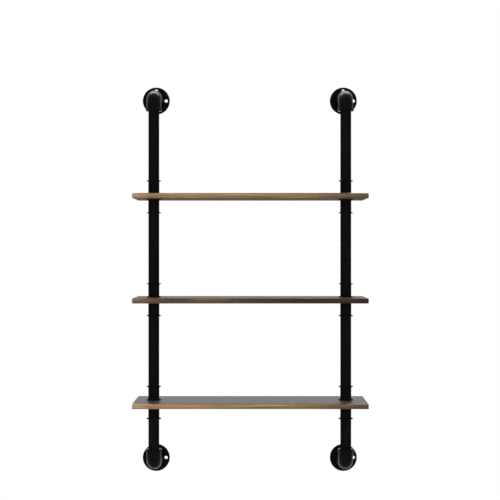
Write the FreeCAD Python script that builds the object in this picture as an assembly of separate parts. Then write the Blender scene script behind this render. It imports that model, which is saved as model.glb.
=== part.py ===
"""Wall-mounted pipe shelving unit: three boards on two threaded pipe posts.

Each post stands off the wall on two floor flanges.  A flange is screwed to
the wall, a wall nipple screws into its hub, and an elbow turns the run from
the nipple into the vertical post.  The post is made of four pipes.  Where it
meets a board, a through nipple passes the board's hole, and a coupling
screws onto it from above and from below, so that the two couplings clamp the
board.  The next pipe screws into the far end of each coupling.

Frame: +Z is up, the wall is the plane y = 0, the unit stands in front of it
at negative y, and the origin is on the wall, midway between the flanges.
All sizes are millimetres.
"""
import FreeCAD, Part
import os

# ---------------------------------------------------------------- whole unit
POST_SPACING = 508.0          # between the axes of the two posts
POST_REACH = 100.0            # from the wall to the axis of a post
TOP_DROP = 264.0              # upper flange axis down to the middle of the top board
SHELF_PITCH = 272.0           # from one board to the next
BOTTOM_RISE = 160.0           # lower flange axis up to the middle of the bottom board

# ------------------------------------------------------------------- boards
BOARD_THICKNESS = 13.0
BOARD_LEFT_OVERHANG = 49.5    # left post's axis to the left end of a board
BOARD_RIGHT_OVERHANG = 52.5   # right post's axis to the right end
BOARD_FRONT_REACH = 100.0     # post axis to the front edge of a board
BOARD_WALL_GAP = 0.5          # the back edge stops this short of the wall
BOARD_EDGE_RADIUS = 1.2       # eased arrises
BOARD_HOLE_CLEARANCE = 0.6    # all round the through nipple

# --------------------------------------------------------------------- pipe
PIPE_DIAMETER = 28.6
PIPE_WALL = 4.3
PIPE_END_CHAMFER = 0.6
THREAD_REDUCTION = 2.0        # radius lost where a pipe end is turned down and threaded
THREAD_CLEARANCE = 0.1        # radial play of a made-up thread

# ---------------------------------------------------------------- couplings
COUPLING_LENGTH = 37.0
COUPLING_WALL = 2.2
BEAD_HEIGHT = 3.4             # the ring round each end of a coupling, at its root
BEAD_PROUD = 4.6
BEAD_RIM_HEIGHT = 1.6         # the ring thins to this at its rim
BEAD_ROUNDING = 0.5
NIPPLE_ENGAGEMENT = 15.0      # how far a through nipple screws into a coupling
COUPLING_INNER_GAP = 4.0      # left between the nipple and the pipe inside a coupling

# ------------------------------------------------------------------- elbows
ELBOW_BEND_RADIUS = 24.5      # of the bend's centre line
ELBOW_WALL = 5.0
SOCKET_ENGAGEMENT = 10.5      # how far a pipe screws into an elbow
SOCKET_SHOULDER = 2.5         # straight metal between that pipe's end and the bend
SOCKET_RELIEF = 1.0           # the socket is bored this much past the pipe's end
BAND_HEIGHT = 8.0             # the reinforcing band round each mouth
BAND_PROUD = 1.7
BAND_ROUNDING = 1.0

# ------------------------------------------------------------------ flanges
FLANGE_THICKNESS = 6.0
FLANGE_HEIGHT = 22.0          # from the wall to the mouth of the hub
FLANGE_EDGE_CHAMFER = 1.5
HUB_WALL = 5.0
HUB_FOOT = 2.0                # sloping foot where the hub meets the plate
SCREW_HOLE_DIAMETER = 9.0
SCREW_HOLE_TO_HUB = 3.1       # metal between the hub and a screw hole
SCREW_HOLE_TO_RIM = 5.0       # metal between a screw hole and the rim
SCREW_HOLE_ANGLES = (0, 90, 270)   # right, top and bottom, seen from the front
FLANGE_NIPPLE_GAP = 4.0       # the wall nipple stops this short of the wall

# ------------------------------------------------- what follows from the above
PIPE_RADIUS = PIPE_DIAMETER / 2
BORE_RADIUS = PIPE_RADIUS - PIPE_WALL
THREAD_RADIUS = PIPE_RADIUS - THREAD_REDUCTION
SOCKET_RADIUS = PIPE_RADIUS + THREAD_CLEARANCE
COUPLING_BORE_RADIUS = THREAD_RADIUS + THREAD_CLEARANCE
COUPLING_RADIUS = COUPLING_BORE_RADIUS + COUPLING_WALL
BEAD_RADIUS = COUPLING_RADIUS + BEAD_PROUD
PIPE_THREAD_LENGTH = COUPLING_LENGTH - NIPPLE_ENGAGEMENT - COUPLING_INNER_GAP
ELBOW_RADIUS = SOCKET_RADIUS + ELBOW_WALL
SOCKET_LENGTH = SOCKET_ENGAGEMENT + SOCKET_SHOULDER
ELBOW_REACH = ELBOW_BEND_RADIUS + SOCKET_LENGTH
HUB_RADIUS = SOCKET_RADIUS + HUB_WALL
SCREW_HOLE_RADIUS = SCREW_HOLE_DIAMETER / 2
SCREW_CIRCLE_RADIUS = HUB_RADIUS + SCREW_HOLE_TO_HUB + SCREW_HOLE_RADIUS
FLANGE_RADIUS = SCREW_CIRCLE_RADIUS + SCREW_HOLE_RADIUS + SCREW_HOLE_TO_RIM

FLANGE_SPACING = TOP_DROP + 2 * SHELF_PITCH + BOTTOM_RISE
UPPER_AXIS = FLANGE_SPACING / 2
LOWER_AXIS = -FLANGE_SPACING / 2
TOP_BOARD = UPPER_AXIS - TOP_DROP
BOARDS = {
    "top": TOP_BOARD,
    "middle": TOP_BOARD - SHELF_PITCH,
    "bottom": TOP_BOARD - 2 * SHELF_PITCH,
}
POSTS = {"left": -POST_SPACING / 2, "right": POST_SPACING / 2}
COUPLING_END = BOARD_THICKNESS / 2 + COUPLING_LENGTH   # board's middle to a coupling's far end

LENGTH_TOLERANCE = 0.01       # for telling edges apart by size
X_AXIS = FreeCAD.Vector(1, 0, 0)
Y_AXIS = FreeCAD.Vector(0, 1, 0)
Z_AXIS = FreeCAD.Vector(0, 0, 1)
CENTRE = FreeCAD.Vector(0, 0, 0)


# ------------------------------------------------------------- basic shapes
def cylinder(radius, low, high):
    """Solid cylinder on the Z axis between two heights."""
    return Part.makeCylinder(radius, high - low, FreeCAD.Vector(0, 0, low), Z_AXIS)


def turned(outline):
    """Solid of revolution about Z from a closed outline of (radius, height) points."""
    points = [FreeCAD.Vector(radius, 0, height) for radius, height in outline]
    face = Part.Face(Part.makePolygon(points + points[:1]))
    return face.revolve(CENTRE, Z_AXIS, 360)


def rounded_disc(radius, low, high, rounding):
    """Disc on the Z axis with both of its outer edges rounded."""
    disc = cylinder(radius, low, high)
    rims = [edge for edge in disc.Edges if edge.Closed]
    return disc.makeFillet(rounding, rims)


def threaded_end(height, toward):
    """Outline of a reduced, threaded end that leaves a pipe's shoulder up (+1) or down (-1)."""
    tip = height + toward * PIPE_THREAD_LENGTH
    return [
        (PIPE_RADIUS, height),
        (THREAD_RADIUS, height),
        (THREAD_RADIUS, tip - toward * PIPE_END_CHAMFER),
        (THREAD_RADIUS - PIPE_END_CHAMFER, tip),
        (BORE_RADIUS, tip),
    ]


def plain_end(radius, height, toward):
    """Outline of a chamfered end that faces up (+1) or down (-1)."""
    return [
        (radius, height - toward * PIPE_END_CHAMFER),
        (radius - PIPE_END_CHAMFER, height),
        (BORE_RADIUS, height),
    ]


def tube(low_end, high_end):
    """Hollow pipe between the outlines of its two ends."""
    return turned(low_end[::-1] + high_end)


# ------------------------------------------------------------------- pieces
def board():
    """Plank with eased edges and a hole for each post, its middle at z = 0."""
    length = BOARD_LEFT_OVERHANG + POST_SPACING + BOARD_RIGHT_OVERHANG
    depth = POST_REACH + BOARD_FRONT_REACH - BOARD_WALL_GAP
    corner = FreeCAD.Vector(POSTS["left"] - BOARD_LEFT_OVERHANG,
                            -POST_REACH - BOARD_FRONT_REACH, -BOARD_THICKNESS / 2)
    plank = Part.makeBox(length, depth, BOARD_THICKNESS, corner)
    plank = plank.makeFillet(BOARD_EDGE_RADIUS, plank.Edges)
    hole = cylinder(THREAD_RADIUS + BOARD_HOLE_CLEARANCE, -BOARD_THICKNESS, BOARD_THICKNESS)
    for x in POSTS.values():
        plank = plank.cut(hole.translated(FreeCAD.Vector(x, -POST_REACH, 0)))
    return plank


def through_nipple():
    """Short all-thread pipe that passes through a board, its middle at z = 0."""
    half = BOARD_THICKNESS / 2 + NIPPLE_ENGAGEMENT
    return tube(plain_end(THREAD_RADIUS, -half, -1), plain_end(THREAD_RADIUS, half, 1))


def coupling():
    """Sleeve standing on z = 0, with a bead round each end that is flat towards the mouth."""
    sleeve = turned([
        (COUPLING_BORE_RADIUS, 0),
        (BEAD_RADIUS, 0),
        (BEAD_RADIUS, BEAD_RIM_HEIGHT),
        (COUPLING_RADIUS, BEAD_HEIGHT),
        (COUPLING_RADIUS, COUPLING_LENGTH - BEAD_HEIGHT),
        (BEAD_RADIUS, COUPLING_LENGTH - BEAD_RIM_HEIGHT),
        (BEAD_RADIUS, COUPLING_LENGTH),
        (COUPLING_BORE_RADIUS, COUPLING_LENGTH),
    ])
    rims = [edge for edge in sleeve.Edges
            if edge.Closed and edge.BoundBox.XLength / 2 > BEAD_RADIUS - LENGTH_TOLERANCE]
    half_rim = BEAD_RIM_HEIGHT / 2
    return sleeve.makeFillet(min(BEAD_ROUNDING, half_rim), rims)


def quarter_bend(radius):
    """Round bar that turns from the Z axis, below the corner, to the Y axis."""
    start = FreeCAD.Vector(0, 0, -ELBOW_BEND_RADIUS)
    section = Part.Face(Part.Wire(Part.makeCircle(radius, start, Z_AXIS)))
    pivot = FreeCAD.Vector(0, ELBOW_BEND_RADIUS, -ELBOW_BEND_RADIUS)
    return section.revolve(pivot, -X_AXIS, 90)


def both_legs(shape):
    """A shape on the leg that hangs below the corner, and its twin on the leg along +Y."""
    return [shape, shape.rotated(CENTRE, X_AXIS, 90)]


def elbow():
    """Cast elbow, its corner at the origin, one mouth down and one towards +Y."""
    straight = cylinder(ELBOW_RADIUS, -ELBOW_REACH, -ELBOW_BEND_RADIUS)
    band = rounded_disc(ELBOW_RADIUS + BAND_PROUD, -ELBOW_REACH, BAND_HEIGHT - ELBOW_REACH,
                        BAND_ROUNDING)
    casting = quarter_bend(ELBOW_RADIUS).fuse(both_legs(straight) + both_legs(band))
    socket = cylinder(SOCKET_RADIUS, -ELBOW_REACH,
                      SOCKET_ENGAGEMENT + SOCKET_RELIEF - ELBOW_REACH)
    passage = cylinder(BORE_RADIUS, -ELBOW_REACH, -ELBOW_BEND_RADIUS)
    hollow = quarter_bend(BORE_RADIUS).fuse(both_legs(socket) + both_legs(passage))
    return casting.removeSplitter().cut(hollow)


def flange():
    """Floor flange with its back on y = 0 and its hub pointing at -Y."""
    plate = turned([
        (SOCKET_RADIUS, 0),
        (FLANGE_RADIUS, 0),
        (FLANGE_RADIUS, FLANGE_THICKNESS - FLANGE_EDGE_CHAMFER),
        (FLANGE_RADIUS - FLANGE_EDGE_CHAMFER, FLANGE_THICKNESS),
        (HUB_RADIUS + HUB_FOOT, FLANGE_THICKNESS),
        (HUB_RADIUS, FLANGE_THICKNESS + HUB_FOOT),
        (HUB_RADIUS, FLANGE_HEIGHT - FLANGE_EDGE_CHAMFER),
        (HUB_RADIUS - FLANGE_EDGE_CHAMFER, FLANGE_HEIGHT),
        (SOCKET_RADIUS, FLANGE_HEIGHT),
    ])
    hole = cylinder(SCREW_HOLE_RADIUS, 0, FLANGE_THICKNESS)
    hole.translate(FreeCAD.Vector(SCREW_CIRCLE_RADIUS, 0, 0))
    for angle in SCREW_HOLE_ANGLES:
        plate = plate.cut(hole.rotated(CENTRE, Z_AXIS, angle))
    return plate.rotated(CENTRE, X_AXIS, 90)


def wall_nipple():
    """Pipe from a flange's hub into an elbow, along -Y from the wall."""
    far_end = POST_REACH - ELBOW_REACH + SOCKET_ENGAGEMENT
    nipple = tube(plain_end(PIPE_RADIUS, FLANGE_NIPPLE_GAP, -1), plain_end(PIPE_RADIUS, far_end, 1))
    return nipple.rotated(CENTRE, X_AXIS, 90)


def post_pipes():
    """The four pipes of one post, by name, on the Z axis."""
    top, middle, bottom = BOARDS.values()
    elbow_stop = ELBOW_REACH - SOCKET_ENGAGEMENT
    return {
        "pipe_top": tube(threaded_end(top + COUPLING_END, -1),
                         plain_end(PIPE_RADIUS, UPPER_AXIS - elbow_stop, 1)),
        "pipe_upper": tube(threaded_end(middle + COUPLING_END, -1),
                           threaded_end(top - COUPLING_END, 1)),
        "pipe_lower": tube(threaded_end(bottom + COUPLING_END, -1),
                           threaded_end(middle - COUPLING_END, 1)),
        "pipe_bottom": tube(plain_end(PIPE_RADIUS, LOWER_AXIS + elbow_stop, -1),
                            threaded_end(bottom - COUPLING_END, 1)),
    }


def upended(shape):
    """The shape turned upside down about the Y axis."""
    return shape.rotated(CENTRE, Y_AXIS, 180)


# ----------------------------------------------------------------- assembly
def build():
    """Every piece in its place, by node name."""
    pieces = {}
    for level, height in BOARDS.items():
        pieces["board_" + level] = board().translated(FreeCAD.Vector(0, 0, height))

    for side, x in POSTS.items():
        axis = FreeCAD.Vector(x, -POST_REACH, 0)
        for name, pipe in post_pipes().items():
            pieces[name + "_" + side] = pipe.translated(axis)

        for level, height in BOARDS.items():
            middle = axis + FreeCAD.Vector(0, 0, height)
            seat = FreeCAD.Vector(0, 0, BOARD_THICKNESS / 2)
            name = level + "_" + side
            pieces["through_nipple_" + name] = through_nipple().translated(middle)
            pieces["coupling_above_" + name] = coupling().translated(middle + seat)
            pieces["coupling_below_" + name] = upended(coupling()).translated(middle - seat)

        ends = {"top": (UPPER_AXIS, elbow()), "bottom": (LOWER_AXIS, upended(elbow()))}
        for end, (height, corner_piece) in ends.items():
            name = end + "_" + side
            on_wall = FreeCAD.Vector(x, 0, height)
            pieces["elbow_" + name] = corner_piece.translated(on_wall - POST_REACH * Y_AXIS)
            pieces["wall_nipple_" + name] = wall_nipple().translated(on_wall)
            pieces["flange_" + name] = flange().translated(on_wall)
    return pieces


os.makedirs("parts", exist_ok=True)
for node, piece in build().items():
    piece.exportStep("parts/" + node + ".step")
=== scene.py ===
import math

import bpy
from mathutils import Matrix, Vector


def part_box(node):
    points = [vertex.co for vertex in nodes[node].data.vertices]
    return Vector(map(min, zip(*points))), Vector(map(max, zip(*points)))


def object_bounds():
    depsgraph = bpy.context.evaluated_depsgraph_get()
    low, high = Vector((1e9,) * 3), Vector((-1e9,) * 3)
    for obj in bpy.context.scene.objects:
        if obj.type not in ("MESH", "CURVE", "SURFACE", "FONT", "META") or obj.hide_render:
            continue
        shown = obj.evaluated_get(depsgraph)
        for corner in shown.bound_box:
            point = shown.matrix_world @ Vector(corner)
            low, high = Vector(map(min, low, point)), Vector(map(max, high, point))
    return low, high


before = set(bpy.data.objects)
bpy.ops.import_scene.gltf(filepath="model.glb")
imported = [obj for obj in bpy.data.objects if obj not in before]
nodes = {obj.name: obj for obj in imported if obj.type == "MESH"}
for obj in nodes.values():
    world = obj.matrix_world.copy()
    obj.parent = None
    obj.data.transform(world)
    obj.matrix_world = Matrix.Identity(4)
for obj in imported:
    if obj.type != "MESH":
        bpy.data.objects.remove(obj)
cad_low, cad_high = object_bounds()

# ---------------------------------------------------------------------------------------
# Wall flanges.  Four round iron castings, ground flat on the back, tapped for the wall
# nipple and drilled for three wall screws.  They are dipped in black enamel, which dries
# dull over the sand-cast grain and lies thin on the rim, the hub's mouth and the holes.
# ---------------------------------------------------------------------------------------


class Signal:
    """One output socket of a node, so that shader maths is written as an expression."""

    def __init__(self, finish, socket):
        self.finish = finish
        self.socket = socket

    def maths(self, operation, first, second=None):
        values = {"Value": first}
        if second is not None:
            values["Value_001"] = second
        return self.finish.node("Math", {"operation": operation}, values)

    def __add__(self, other):
        return self.maths("ADD", self, other)

    def __sub__(self, other):
        return self.maths("SUBTRACT", self, other)

    def __rsub__(self, other):
        return self.maths("SUBTRACT", other, self)

    def __mul__(self, other):
        return self.maths("MULTIPLY", self, other)

    def __pow__(self, other):
        return self.maths("POWER", self, other)

    def __abs__(self):
        return self.maths("ABSOLUTE", self)

    def sign(self):
        return self.maths("SIGN", self)

    def fraction(self):
        return self.maths("FRACT", self)

    __radd__ = __add__
    __rmul__ = __mul__


MIXED_COLOUR = 2           # a Mix node's outputs are a number, a vector and a colour


class Finish:
    """The node tree of one material or world.  Every node comes from one method."""

    def __init__(self, owner):
        owner.use_nodes = True
        self.owner = owner
        self.tree = owner.node_tree
        self.tree.nodes.clear()

    def node(self, kind, settings, sockets, output=0):
        """Adds a node, makes its settings, fills its sockets and gives one of its outputs."""
        node = self.tree.nodes.new("ShaderNode" + kind)
        for name, value in settings.items():
            if name == "stops":
                while len(node.color_ramp.elements) < len(value):
                    node.color_ramp.elements.new(1.0)
                for element, (position, colour) in zip(node.color_ramp.elements, value):
                    element.position = position
                    element.color = colour
            else:
                setattr(node, name, value)
        for name, value in sockets.items():
            socket = next(s for s in node.inputs if s.enabled and name in (s.identifier, s.name))
            if isinstance(value, Signal):
                self.tree.links.new(value.socket, socket)
            else:
                socket.default_value = value
        return Signal(self, node.outputs[output]) if node.outputs else None

    def place(self):
        """The point in metres, in the frame of the whole unit."""
        return self.node("TexCoord", {}, {}, "Object")

    def along(self, axis):
        """How far that point lies along X, Y or Z."""
        return self.node("SeparateXYZ", {}, {"Vector": self.place()}, axis)

    def noise(self, point, per_metre, detail=2.0, roughness=0.5):
        """Soft noise about 0.5, with so many features to the metre, or so many by axis."""
        if isinstance(per_metre, tuple):
            point = self.node("Mapping", {}, {"Vector": point, "Scale": per_metre})
            per_metre = 1.0
        sockets = {"Vector": point, "Scale": per_metre, "Detail": detail, "Roughness": roughness}
        return self.node("TexNoise", {}, sockets, "Fac")

    def between(self, value, low, high):
        """0 where the value is at low, 1 where it is at high, and smooth between."""
        sockets = {"Value": value, "From Min": low, "From Max": high}
        return self.node("MapRange", {"interpolation_type": "SMOOTHSTEP"}, sockets)

    def marks(self, point, per_metre):
        """1 on sparse small chips, or on scratches that run along the axis with the fewest."""
        return self.between(self.noise(point, per_metre, 2.0, 0.6), 0.64, 0.72)

    def distance(self, first, second):
        """How far two offsets at right angles lead."""
        return (first * first + second * second) ** 0.5

    def blend(self, factor, first, second, kind="MIX"):
        """The first colour, covered by the second as far as the factor says."""
        settings = {"data_type": "RGBA", "blend_type": kind, "clamp_factor": True}
        sockets = {"Factor_Float": factor, "A_Color": first, "B_Color": second}
        return self.node("Mix", settings, sockets, MIXED_COLOUR)

    def relief(self, height, depth, under=None):
        """Bump over another bump: a height from 0 to 1 stands for so many metres."""
        sockets = {"Height": height, "Distance": depth}
        if under:
            sockets["Normal"] = under
        return self.node("Bump", {}, sockets)

    def surface(self, **sockets):
        """Ends the tree in a principled shader.  _ in a name stands for a space."""
        named = {name.replace("_", " "): value for name, value in sockets.items()}
        shader = self.node("BsdfPrincipled", {}, named)
        self.node("OutputMaterial", {}, {"Surface": shader})
        return self.owner


def srgb(red, green, blue):
    """A linear colour from the 0 to 255 values that a screen shows."""
    def linear(level):
        level = level / 255
        return level / 12.92 if level <= 0.04045 else ((level + 0.055) / 1.055) ** 2.4
    return (linear(red), linear(green), linear(blue), 1.0)


def finish_pieces(beginnings, material):
    """Gives a finish to each piece whose name starts with this, or with one of these."""
    for name, piece in nodes.items():
        if name.startswith(beginnings):
            piece.data.materials.clear()
            piece.data.materials.append(material)


BLACK_ENAMEL = srgb(6, 6, 7)
THIN_ENAMEL = srgb(46, 44, 42)
SCREW_CIRCLE = 0.027       # the holes lie this far from the flange's axis
SCREW_HOLE = 0.0045        # radius of a hole
RIM_WEAR = 0.0014          # width of the thin enamel along an edge
SAND_GRAINS = 900.0        # to the metre, as the lumps and chips are
SAND_RELIEF = 0.00025      # how high the grains stand
LUMPS = 70.0
LUMP_RELIEF = 0.0012
FLANGE_CHIPS = 240.0

flange_low, flange_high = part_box("flange_top_right")
flange_axis = (flange_low + flange_high) / 2
flange_radius = (flange_high.x - flange_low.x) / 2

flange = Finish(bpy.data.materials.new("flange_enamel"))
point = flange.place()
x, y, z = (flange.along(axis) for axis in "XYZ")
across = x - x.sign() * flange_axis.x
above = z - z.sign() * flange_axis.z
from_axis = flange.distance(across, above)
from_side_hole = flange.distance(across - SCREW_CIRCLE, above)
from_end_hole = flange.distance(across, abs(above) - SCREW_CIRCLE)
sand = flange.noise(point, SAND_GRAINS, 3.0, 0.6)
lumps = flange.noise(point, LUMPS)
ragged = (sand - 0.5) * RIM_WEAR * 2
thin = flange.between(from_axis + ragged, flange_radius - RIM_WEAR, flange_radius)
for from_hole in (from_side_hole, from_end_hole):
    thin = thin + flange.between(from_hole + ragged, SCREW_HOLE + RIM_WEAR, SCREW_HOLE)
thin = thin + flange.between(y + ragged, flange_low.y + RIM_WEAR, flange_low.y)
chips = flange.marks(point, FLANGE_CHIPS)
finish_pieces("flange", flange.surface(
    Base_Color=flange.blend(thin * 0.3 + chips * 0.6, BLACK_ENAMEL, THIN_ENAMEL),
    Roughness=sand * 0.3 + 0.42 - thin * 0.1,
    Specular_IOR_Level=0.04,
    Normal=flange.relief(sand, SAND_RELIEF, flange.relief(lumps, LUMP_RELIEF)),
))

# ---------------------------------------------------------------------------------------
# Pipes.  Steel tube, powder-coated black: the four wall nipples that run from the flanges
# to the elbows, and the eight pipes of the two posts.  The coating is dull, with a fine
# orange peel and faint upright draw marks, and is rubbed in places.
# ---------------------------------------------------------------------------------------
POWDER_BLACK = srgb(12, 12, 12)
POWDER_RUBBED = srgb(38, 37, 36)
SCRATCHED_STEEL = srgb(84, 81, 77)
ORANGE_PEEL = 520.0        # dimples to the metre
PEEL_RELIEF = 0.00012
DRAW_MARKS = (900.0, 900.0, 14.0)             # to the metre in X, Y and Z, as the next two
RUBBED_PATCHES = (38.0, 38.0, 16.0)
PIPE_SCRATCHES = (1300.0, 1300.0, 70.0)
DRAW_RELIEF = 0.00004

pipe = Finish(bpy.data.materials.new("pipe_powder_coat"))
point = pipe.place()
peel = pipe.noise(point, ORANGE_PEEL, 2.0, 0.55)
drawn = pipe.noise(point, DRAW_MARKS)
rubbed = pipe.between(pipe.noise(point, RUBBED_PATCHES, 4.0, 0.65), 0.52, 0.72)
scratches = pipe.marks(point, PIPE_SCRATCHES)
coat = pipe.blend(rubbed * 0.2 + drawn * 0.15, POWDER_BLACK, POWDER_RUBBED)
finish_pieces(("pipe", "wall_nipple"), pipe.surface(
    Base_Color=pipe.blend(scratches * (rubbed * 0.4 + 0.1), coat, SCRATCHED_STEEL),
    Roughness=peel * 0.16 + 0.68 - rubbed * 0.1,
    Specular_IOR_Level=0.01,
    Normal=pipe.relief(peel, PEEL_RELIEF, pipe.relief(drawn, DRAW_RELIEF)),
))

# ---------------------------------------------------------------------------------------
# Elbows.  Four banded malleable-iron castings that turn the wall nipples into the posts.
# They wear a thicker, glossier black enamel than the rest, over a lumpy casting that keeps
# the fine seam where the two halves of its mould met.
# ---------------------------------------------------------------------------------------
GLOSS_BLACK = srgb(4, 4, 5)
POOLED_BLACK = srgb(11, 11, 12)
ELBOW_GRAINS = 650.0       # to the metre, as the next three
ELBOW_LUMPS = 85.0
ENAMEL_POOLS = 30.0
ELBOW_CHIPS = 300.0
ELBOW_GRAIN_RELIEF = 0.00003
ELBOW_LUMP_RELIEF = 0.00018
SEAM_RELIEF = 0.00008
SEAM_WIDTH = 0.0007        # from the seam's middle to its foot

elbow_low, elbow_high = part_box("elbow_top_right")
elbow_middle = (elbow_low.x + elbow_high.x) / 2

elbow = Finish(bpy.data.materials.new("elbow_gloss_enamel"))
point = elbow.place()
sand = elbow.noise(point, ELBOW_GRAINS, 3.0, 0.6)
lumps = elbow.noise(point, ELBOW_LUMPS)
pooled = elbow.noise(point, ENAMEL_POOLS)
seam = elbow.between(abs(abs(elbow.along("X")) - elbow_middle), SEAM_WIDTH, 0.0)
cast = elbow.relief(lumps, ELBOW_LUMP_RELIEF, elbow.relief(seam, SEAM_RELIEF))
chips = elbow.marks(point, ELBOW_CHIPS)
enamel = elbow.blend(pooled * 0.5, GLOSS_BLACK, POOLED_BLACK)
finish_pieces("elbow", elbow.surface(
    Base_Color=elbow.blend(chips * 0.4, enamel, THIN_ENAMEL),
    Roughness=sand * 0.08 + pooled * 0.1 + 0.14,
    Specular_IOR_Level=0.03,
    Coat_Weight=pooled * 0.06 + 0.01,
    Coat_Roughness=0.5,
    Normal=elbow.relief(sand, ELBOW_GRAIN_RELIEF, cast),
))

# ---------------------------------------------------------------------------------------
# Couplings and through nipples.  At each post and board a short all-thread nipple passes
# the board, and two steel sleeves with a bead round each end screw onto it and clamp the
# wood.  They are coated like the pipes, and the beads, which take the wrench, are rubbed.
# ---------------------------------------------------------------------------------------
BEAD_WEAR = 0.0008         # depth of a bead's rubbed skin
TURNED_SCUFFS = (60.0, 60.0, 200.0)           # to the metre in X, Y and Z, as the scratches
TURNED_SCRATCHES = (300.0, 300.0, 1300.0)

coupling_low, coupling_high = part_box("coupling_above_top_right")
post_axis = (coupling_low + coupling_high) / 2
bead_radius = (coupling_high.x - coupling_low.x) / 2

coupling = Finish(bpy.data.materials.new("coupling_powder_coat"))
point = coupling.place()
across = abs(coupling.along("X")) - post_axis.x
from_axis = coupling.distance(across, coupling.along("Y") - post_axis.y)
peel = coupling.noise(point, ORANGE_PEEL, 2.0, 0.55)
scuff = coupling.noise(point, TURNED_SCUFFS, 3.0, 0.65)
bead = coupling.between(from_axis, bead_radius - BEAD_WEAR, bead_radius)
thin = bead * coupling.between(scuff, 0.42, 0.62)
scratches = coupling.marks(point, TURNED_SCRATCHES)
coat = coupling.blend(thin * 0.4 + scuff * 0.1, POWDER_BLACK, POWDER_RUBBED)
finish_pieces(("coupling", "through_nipple"), coupling.surface(
    Base_Color=coupling.blend(scratches * (thin * 0.6 + 0.1), coat, SCRATCHED_STEEL),
    Roughness=peel * 0.16 + 0.62 - thin * 0.12,
    Specular_IOR_Level=0.015,
    Normal=coupling.relief(peel, PEEL_RELIEF),
))

# ---------------------------------------------------------------------------------------
# Boards.  Three softwood planks, sawn flat, stained brown and varnished.  The stain took
# darker towards the right and all over the middle plank.  The broad top faces and undersides
# are painted darker, and every plank darker towards its bottom: painted shade.  Late wood,
# knots and pores show dark, and streaks of sapwood show pale.
# ---------------------------------------------------------------------------------------
RINGS_PER_METRE = 300.0
HEART_BELOW = 0.045        # the heart of the log runs this far under a plank's middle
HEART_WANDER = 0.030       # and wanders this much along the plank
LATE_WOOD_STARTS = 0.3     # the shares of a ring's width where its late wood starts,
LATE_WOOD_PEAKS = 0.9      # is darkest
LATE_WOOD_FADES = 0.94     # and begins to fade, to be gone at the next ring
KNOT_ASPECT = 0.6          # a knot's width as a share of its length along the grain
KNOT_REACH = 4             # the rings bend from this many of its radii away
KNOT_BEND = 1.6            # and by this many of its radii at most
KNOT_HEART = 0.35          # the share of its radius that is darkest

# Features to the metre along the plank, across it and through it.
GRAIN_WANDERS = (2.6, 3.0, 3.0)
STREAKS = (5.0, 60.0, 300.0)
HUES = (6.0, 25.0, 120.0)
FIBRES = (26.0, 1100.0, 1100.0)
PORES = (110.0, 2600.0, 2600.0)
SCUFFS = 22.0

LATE_WOOD = (0.62, 0.54, 0.45, 1.0)
PALE_STREAK = (1.28, 1.33, 1.45, 1.0)
DEEP_STREAK = (0.68, 0.64, 0.60, 1.0)
ROSY = (1.03, 0.96, 0.97, 1.0)
GOLDEN = (1.0, 1.0, 0.84, 1.0)
SAPWOOD = (1.45, 1.5, 1.6, 1.0)
# The next colour darkens the stain soaked into the arrises, and also paints the shade towards each
# plank's bottom.
SOAK_AND_SHADE = (0.5, 0.45, 0.42, 1.0)
# The next colour is rubbed bare wood, and it also stands in for a highlight on the upper arrises:
# painted highlight.
BARE_WOOD_AND_HIGHLIGHT = srgb(207, 186, 166)
DARK_KNOT = srgb(38, 26, 18)

FACE_DEPTH = 0.0004        # how near a face a point has to be to lie on it
STREAK_SHIFT = 0.14        # streaks take their tone from this share of the length away
SAP_DEPTH = 0.03           # how far in from the front edge the sapwood runs
SAP_WANDER = 0.01          # how much its streaks rise and fall with the grain
ARRIS = 0.0026             # width of the worn or soaked strip along an edge
HANDLED_AND_HIGHLIT_END = 0.07         # length at each end where hands rubbed the upper arris bare and it is painted paler, partly a painted highlight
LOWER_SHADE_FROM = 0.3             # each plank is painted darker, as painted shade, from this share of the upper half down
GRAIN_RELIEF = 0.00022


def growth_rings(wood, axes, middle, heart_back, wander, knots):
    """Late wood, in rings round the log's heart that bend at the knots, and the knots' hearts."""
    x, y, z = axes
    away = y - (middle.y + heart_back)
    up = z - (middle.z - HEART_BELOW)
    radius = wood.distance(away, up) + (wander - 0.5) * HEART_WANDER
    knot_hearts = 0.0
    for knot_x, knot_y, size in knots:
        distance = wood.distance((x - knot_x) * KNOT_ASPECT, y - knot_y)
        radius = radius + wood.between(distance, size * KNOT_REACH, 0.0) * size * KNOT_BEND
        knot_hearts = knot_hearts + wood.between(distance, size, size * KNOT_HEART)
    ring = (radius * RINGS_PER_METRE).fraction()
    darkens = wood.between(ring, LATE_WOOD_STARTS, LATE_WOOD_PEAKS)
    return darkens * wood.between(ring, 1.0, LATE_WOOD_FADES), knot_hearts


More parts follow.
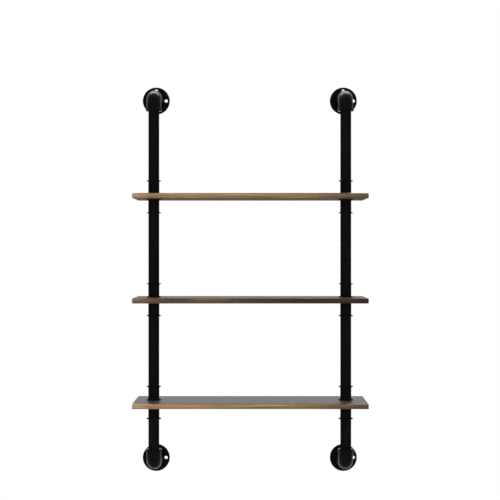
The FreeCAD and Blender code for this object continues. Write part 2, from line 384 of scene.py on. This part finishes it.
def stained_plank(name, tones, top_shade_tone, under_shade_tone, varnish, wear_and_highlight, heart_back, cut, knots,
                  sap_streaks):
    """Gives a plank its stained wood, with the tones of its edges from left to right.

    varnish is how thick the varnish is, and the wear argument how bare the rubbed upper arrises
    are and how strongly they show a painted highlight, from 0 to 1.  cut is the plank's own
    place in the log, whose heart lies heart_back behind the plank's middle.  A knot is its x, y
    and radius.  A streak of sapwood is its x, its height above the middle, and half its length
    and half its height.
    """
    low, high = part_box(name)
    middle = (low + high) / 2
    half = (high - low) / 2
    wood = Finish(bpy.data.materials.new(name + "_stained"))
    axes = [wood.along(axis) for axis in "XYZ"]
    x, y, z = axes
    sample = wood.node("Mapping", {}, {"Vector": wood.place(), "Location": cut})

    wander = wood.noise(sample, GRAIN_WANDERS, 3.0, 0.55)
    streak = wood.noise(sample, STREAKS, 3.0, 0.6)
    hue = wood.noise(sample, HUES)
    fibre = wood.noise(sample, FIBRES, 3.0, 0.7)
    pore = wood.between(wood.noise(sample, PORES, 1.0), 0.66, 0.78)
    late, knot_hearts = growth_rings(wood, axes, middle, heart_back, wander, knots)

    drift = (x - low.x) * (1 / (high.x - low.x)) + (streak - 0.5) * STREAK_SHIFT
    # The top face and the underside are painted in darker tones of their own: painted shade.
    shaded_top = wood.between(z, high.z - FACE_DEPTH, high.z)
    underside = wood.between(z, low.z + FACE_DEPTH, low.z)
    tone = wood.node("ValToRGB", {"stops": tones}, {"Fac": drift}, "Color")
    tone = wood.blend(shaded_top * 0.95, tone, top_shade_tone)
    tone = wood.blend(underside * 0.85, tone, under_shade_tone)
    tone = wood.blend(wood.between(hue, 0.62, 0.38), tone, ROSY, "MULTIPLY")
    tone = wood.blend(wood.between(hue, 0.44, 0.6), tone, GOLDEN, "MULTIPLY")
    tone = wood.blend(wood.between(streak, 0.5, 0.68), tone, PALE_STREAK, "MULTIPLY")
    tone = wood.blend(wood.between(streak, 0.5, 0.34), tone, DEEP_STREAK, "MULTIPLY")
    tone = wood.blend(late * (1.5 - streak * 2), tone, LATE_WOOD, "MULTIPLY")
    for streak_x, streak_up, half_length, half_height in sap_streaks:
        over = z - (middle.z + streak_up) + (wander - 0.5) * SAP_WANDER
        from_streak = wood.distance((x - streak_x) * (1 / half_length), over * (1 / half_height))
        in_front = wood.between(y, low.y + SAP_DEPTH, low.y)
        inside = wood.between(from_streak, 1.1, 0.4) * in_front
        tone = wood.blend(inside * (fibre * 0.8 + 0.4), tone, SAPWOOD, "MULTIPLY")
    tone = wood.blend((1 - fibre) * 0.6, tone, DEEP_STREAK, "MULTIPLY")
    tone = wood.blend(pore * 0.55 + knot_hearts * 0.75, tone, DARK_KNOT)

    from_middle = abs(x - middle.x)
    near_end = wood.between(from_middle, half.x - ARRIS, half.x)
    near_edge = wood.between(abs(y - middle.y), half.y - ARRIS, half.y)
    near_face = wood.between(abs(z - middle.z), half.z - ARRIS, half.z)
    arris = near_end * near_edge + near_edge * near_face + near_end * near_face
    # Partly painted highlight: the upper arrises, most near the ends, are rubbed to pale bare
    # wood, which also stands in for light catching them.
    handled_and_highlit = wood.between(from_middle, half.x - HANDLED_AND_HIGHLIT_END, half.x - HANDLED_AND_HIGHLIT_END / 2)
    upper = wood.between(z, middle.z, high.z)
    scuff = wood.noise(sample, SCUFFS, 3.0) + handled_and_highlit * 0.3
    rubbed = wood.between(scuff, 0.6, 0.74) * upper
    # Painted shade: the plank darkens from a little above its middle down to its bottom edge.
    lower_shade = wood.between(z, middle.z + half.z * LOWER_SHADE_FROM, low.z)
    tone = wood.blend(lower_shade * 0.5, tone, SOAK_AND_SHADE, "MULTIPLY")
    tone = wood.blend(arris * (1 - rubbed) * (upper * 0.3 + 0.2), tone, SOAK_AND_SHADE, "MULTIPLY")
    tone = wood.blend(arris * rubbed * wear_and_highlight, tone, BARE_WOOD_AND_HIGHLIGHT)
    grain = late * 0.5 + fibre * 0.5 - pore * 0.6
    finish_pieces(name, wood.surface(
        Base_Color=tone,
        Roughness=fibre * 0.18 + late * 0.06 + underside * 0.2 + 0.4,
        Specular_IOR_Level=0.06,
        Coat_Weight=(1 - underside * 0.8) * (1 - arris * rubbed * 0.7) * varnish,
        Coat_Roughness=0.28,
        Normal=wood.relief(grain, GRAIN_RELIEF),
    ))


STRAW = srgb(176, 152, 114)
ROSE_TAN = srgb(164, 134, 100)
FAWN = srgb(150, 123, 92)
CHESTNUT = srgb(141, 117, 82)
OLIVE = srgb(127, 107, 74)
UMBER = srgb(104, 88, 66)
PEAT = srgb(88, 73, 59)
# The next two colours paint the top and bottom planks' top faces and undersides darker: painted
# shade.
TOP_SHADE_UMBER = srgb(74, 68, 62)
UNDER_SHADE_UMBER = srgb(97, 80, 58)
BROWN_STAIN = [(0.0, STRAW), (0.03, STRAW), (0.075, FAWN), (0.14, ROSE_TAN), (0.27, ROSE_TAN),
               (0.36, FAWN), (0.66, CHESTNUT), (0.8, OLIVE), (0.9, UMBER), (1.0, PEAT)]

DRIFTWOOD = srgb(125, 106, 88)
BARK = srgb(86, 72, 62)
WALNUT = srgb(96, 79, 61)
SMOKED_OAK = srgb(76, 63, 55)
BOG_OAK = srgb(58, 49, 45)
SOOT = srgb(47, 41, 38)
# The next colour paints the middle plank's top face darker: painted shade.
TOP_SHADE_COCOA = srgb(95, 78, 63)
DARK_STAIN = [(0.0, DRIFTWOOD), (0.14, BARK), (0.3, WALNUT), (0.5, SMOKED_OAK), (0.75, BOG_OAK),
              (1.0, SOOT)]

# Each plank's top face and underside take the two darker tones given here: painted shade.
stained_plank("board_top", BROWN_STAIN, top_shade_tone=TOP_SHADE_UMBER, under_shade_tone=UNDER_SHADE_UMBER,
              varnish=0.27, wear_and_highlight=1.0, heart_back=-0.015, cut=(0.31, 0.12, 0.47),
              knots=[(-0.14, -0.06, 0.006), (0.19, -0.13, 0.004)],
              sap_streaks=[(0.12, -0.0048, 0.07, 0.0018), (-0.02, 0.003, 0.09, 0.0025)])
stained_plank("board_middle", DARK_STAIN, top_shade_tone=TOP_SHADE_COCOA, under_shade_tone=SMOKED_OAK,
              varnish=0.09, wear_and_highlight=0.05, heart_back=0.02, cut=(1.73, 0.64, 0.22),
              knots=[(0.07, -0.09, 0.007), (-0.22, -0.03, 0.004)],
              sap_streaks=[(-0.1, 0.0016, 0.055, 0.0025), (-0.1, 0.002, 0.06, 0.003),
                           (-0.105, 0.0035, 0.065, 0.0035), (-0.285, 0.0045, 0.03, 0.003)])
stained_plank("board_bottom", BROWN_STAIN, top_shade_tone=TOP_SHADE_UMBER, under_shade_tone=UNDER_SHADE_UMBER,
              varnish=0.27, wear_and_highlight=0.5, heart_back=-0.022, cut=(0.84, 1.52, 0.93),
              knots=[(-0.05, -0.05, 0.005), (0.24, -0.08, 0.006)],
              sap_streaks=[(0.03, 0.0017, 0.12, 0.0015), (0.13, -0.0058, 0.07, 0.0012)])

# ---------------------------------------------------------------------------------------
# Studio.  The unit hangs in front of white, well above a pale floor, as it would on a wall.
# Soft white light comes from all round and from lamps in front, behind and above.  A panel
# high behind the wall plane shows in gloss alone: a crescent on each upper elbow's bend.
# ---------------------------------------------------------------------------------------
WHITE = (1.0, 1.0, 1.0, 1.0)
FLOOR_GREY = (0.8, 0.8, 0.8, 1.0)
SURROUND_GREY = (0.35, 0.35, 0.35, 1.0)
FLOOR_DROP = 1.0           # from the unit's lowest point down to the floor
FLOOR_REACH = 2.5          # from the floor's middle to its sides
FLOOR_FADE = 1.2           # from here out to its sides the floor fades into the background
FLOOR_WHITE = 0.8          # how much of the floor's shade the background covers

floor_mesh = bpy.data.meshes.new("floor")
corners = [(-FLOOR_REACH, -FLOOR_REACH, 0), (FLOOR_REACH, -FLOOR_REACH, 0),
           (FLOOR_REACH, FLOOR_REACH, 0), (-FLOOR_REACH, FLOOR_REACH, 0)]
floor_mesh.from_pydata(corners, [], [(0, 1, 2, 3)])
floor = bpy.data.objects.new("floor", floor_mesh)
floor.location.z = cad_low.z - FLOOR_DROP
bpy.context.scene.collection.objects.link(floor)


def seen_as_background(finish):
    """1 for rays that show the background: to the camera, or off metal, or through glass."""
    rays = ["Is Camera Ray", "Is Glossy Ray", "Is Transmission Ray"]
    camera, glossy, transmission = [finish.node("LightPath", {}, {}, ray) for ray in rays]
    return camera + glossy + transmission


paint = Finish(bpy.data.materials.new("floor_pale"))
matt = paint.node("BsdfDiffuse", {}, {"Color": FLOOR_GREY})
white = paint.node("Emission", {}, {"Color": WHITE, "Strength": 1.0})
from_middle = paint.distance(paint.along("X"), paint.along("Y"))
faded = paint.between(from_middle, FLOOR_FADE, FLOOR_REACH)
covered = seen_as_background(paint) * (faded * (1 - FLOOR_WHITE) + FLOOR_WHITE)
shown = paint.node("MixShader", {}, {"Fac": covered, "Shader": matt, "Shader_001": white})
paint.node("OutputMaterial", {}, {"Surface": shown})
floor_mesh.materials.append(paint.owner)

surround = Finish(bpy.data.worlds.new("studio"))
level = surround.blend(seen_as_background(surround), SURROUND_GREY, WHITE)
background = surround.node("Background", {}, {"Color": level})
surround.node("OutputWorld", {}, {"Surface": background})
bpy.context.scene.world = surround.owner


def soft_lamp(name, place, target, width, height, watts, shines_on):
    """A rectangular white lamp that faces a point and shines on either matt or glossy surfaces."""
    light = bpy.data.lights.new(name, "AREA")
    light.shape = "RECTANGLE"
    light.size = width
    light.size_y = height
    light.energy = watts
    lamp = bpy.data.objects.new(name, light)
    lamp.location = place
    lamp.rotation_euler = (Vector(target) - Vector(place)).to_track_quat("-Z", "Y").to_euler()
    lamp.visible_camera = False
    lamp.visible_diffuse = shines_on == "matt"
    lamp.visible_glossy = shines_on == "gloss"
    bpy.context.scene.collection.objects.link(lamp)


soft_lamp("front_lamp", place=(0.0, -3.4, 0.2), target=(0, 0, 0),
          width=2.6, height=2.2, watts=85.0, shines_on="matt")
soft_lamp("back_lamp", place=(0.0, 3.4, 0.0), target=(0, 0, 0),
          width=2.6, height=2.2, watts=70.0, shines_on="matt")
soft_lamp("top_lamp", place=(0.0, 1.5, 2.5), target=(0, -0.1, 0.4),
          width=1.6, height=0.5, watts=15.0, shines_on="matt")
soft_lamp("panel_behind", place=(0.0, 1.36, 2.62), target=(0, -0.1, 0.48),
          width=3.0, height=1.3, watts=155.0, shines_on="gloss")

# The camera looks level at the wall from 3.8 m, a little above the unit's middle.
CAMERA_DISTANCE = 3.791
CAMERA_HEIGHT = 0.0794
LENS = 100.4               # in millimetres, as the sensor's width
SENSOR_WIDTH = 36.0
FRAME_SHIFT = 0.0004       # of the frame's width, to the right

camera_data = bpy.data.cameras.new("camera")
camera_data.lens = LENS
camera_data.sensor_width = SENSOR_WIDTH
camera_data.shift_x = FRAME_SHIFT
camera = bpy.data.objects.new("camera", camera_data)
camera.location = (0.0, -CAMERA_DISTANCE, CAMERA_HEIGHT)
camera.rotation_euler = (math.radians(90), 0.0, 0.0)
bpy.context.scene.collection.objects.link(camera)
bpy.context.scene.camera = camera
bpy.context.scene.view_settings.view_transform = "Standard"
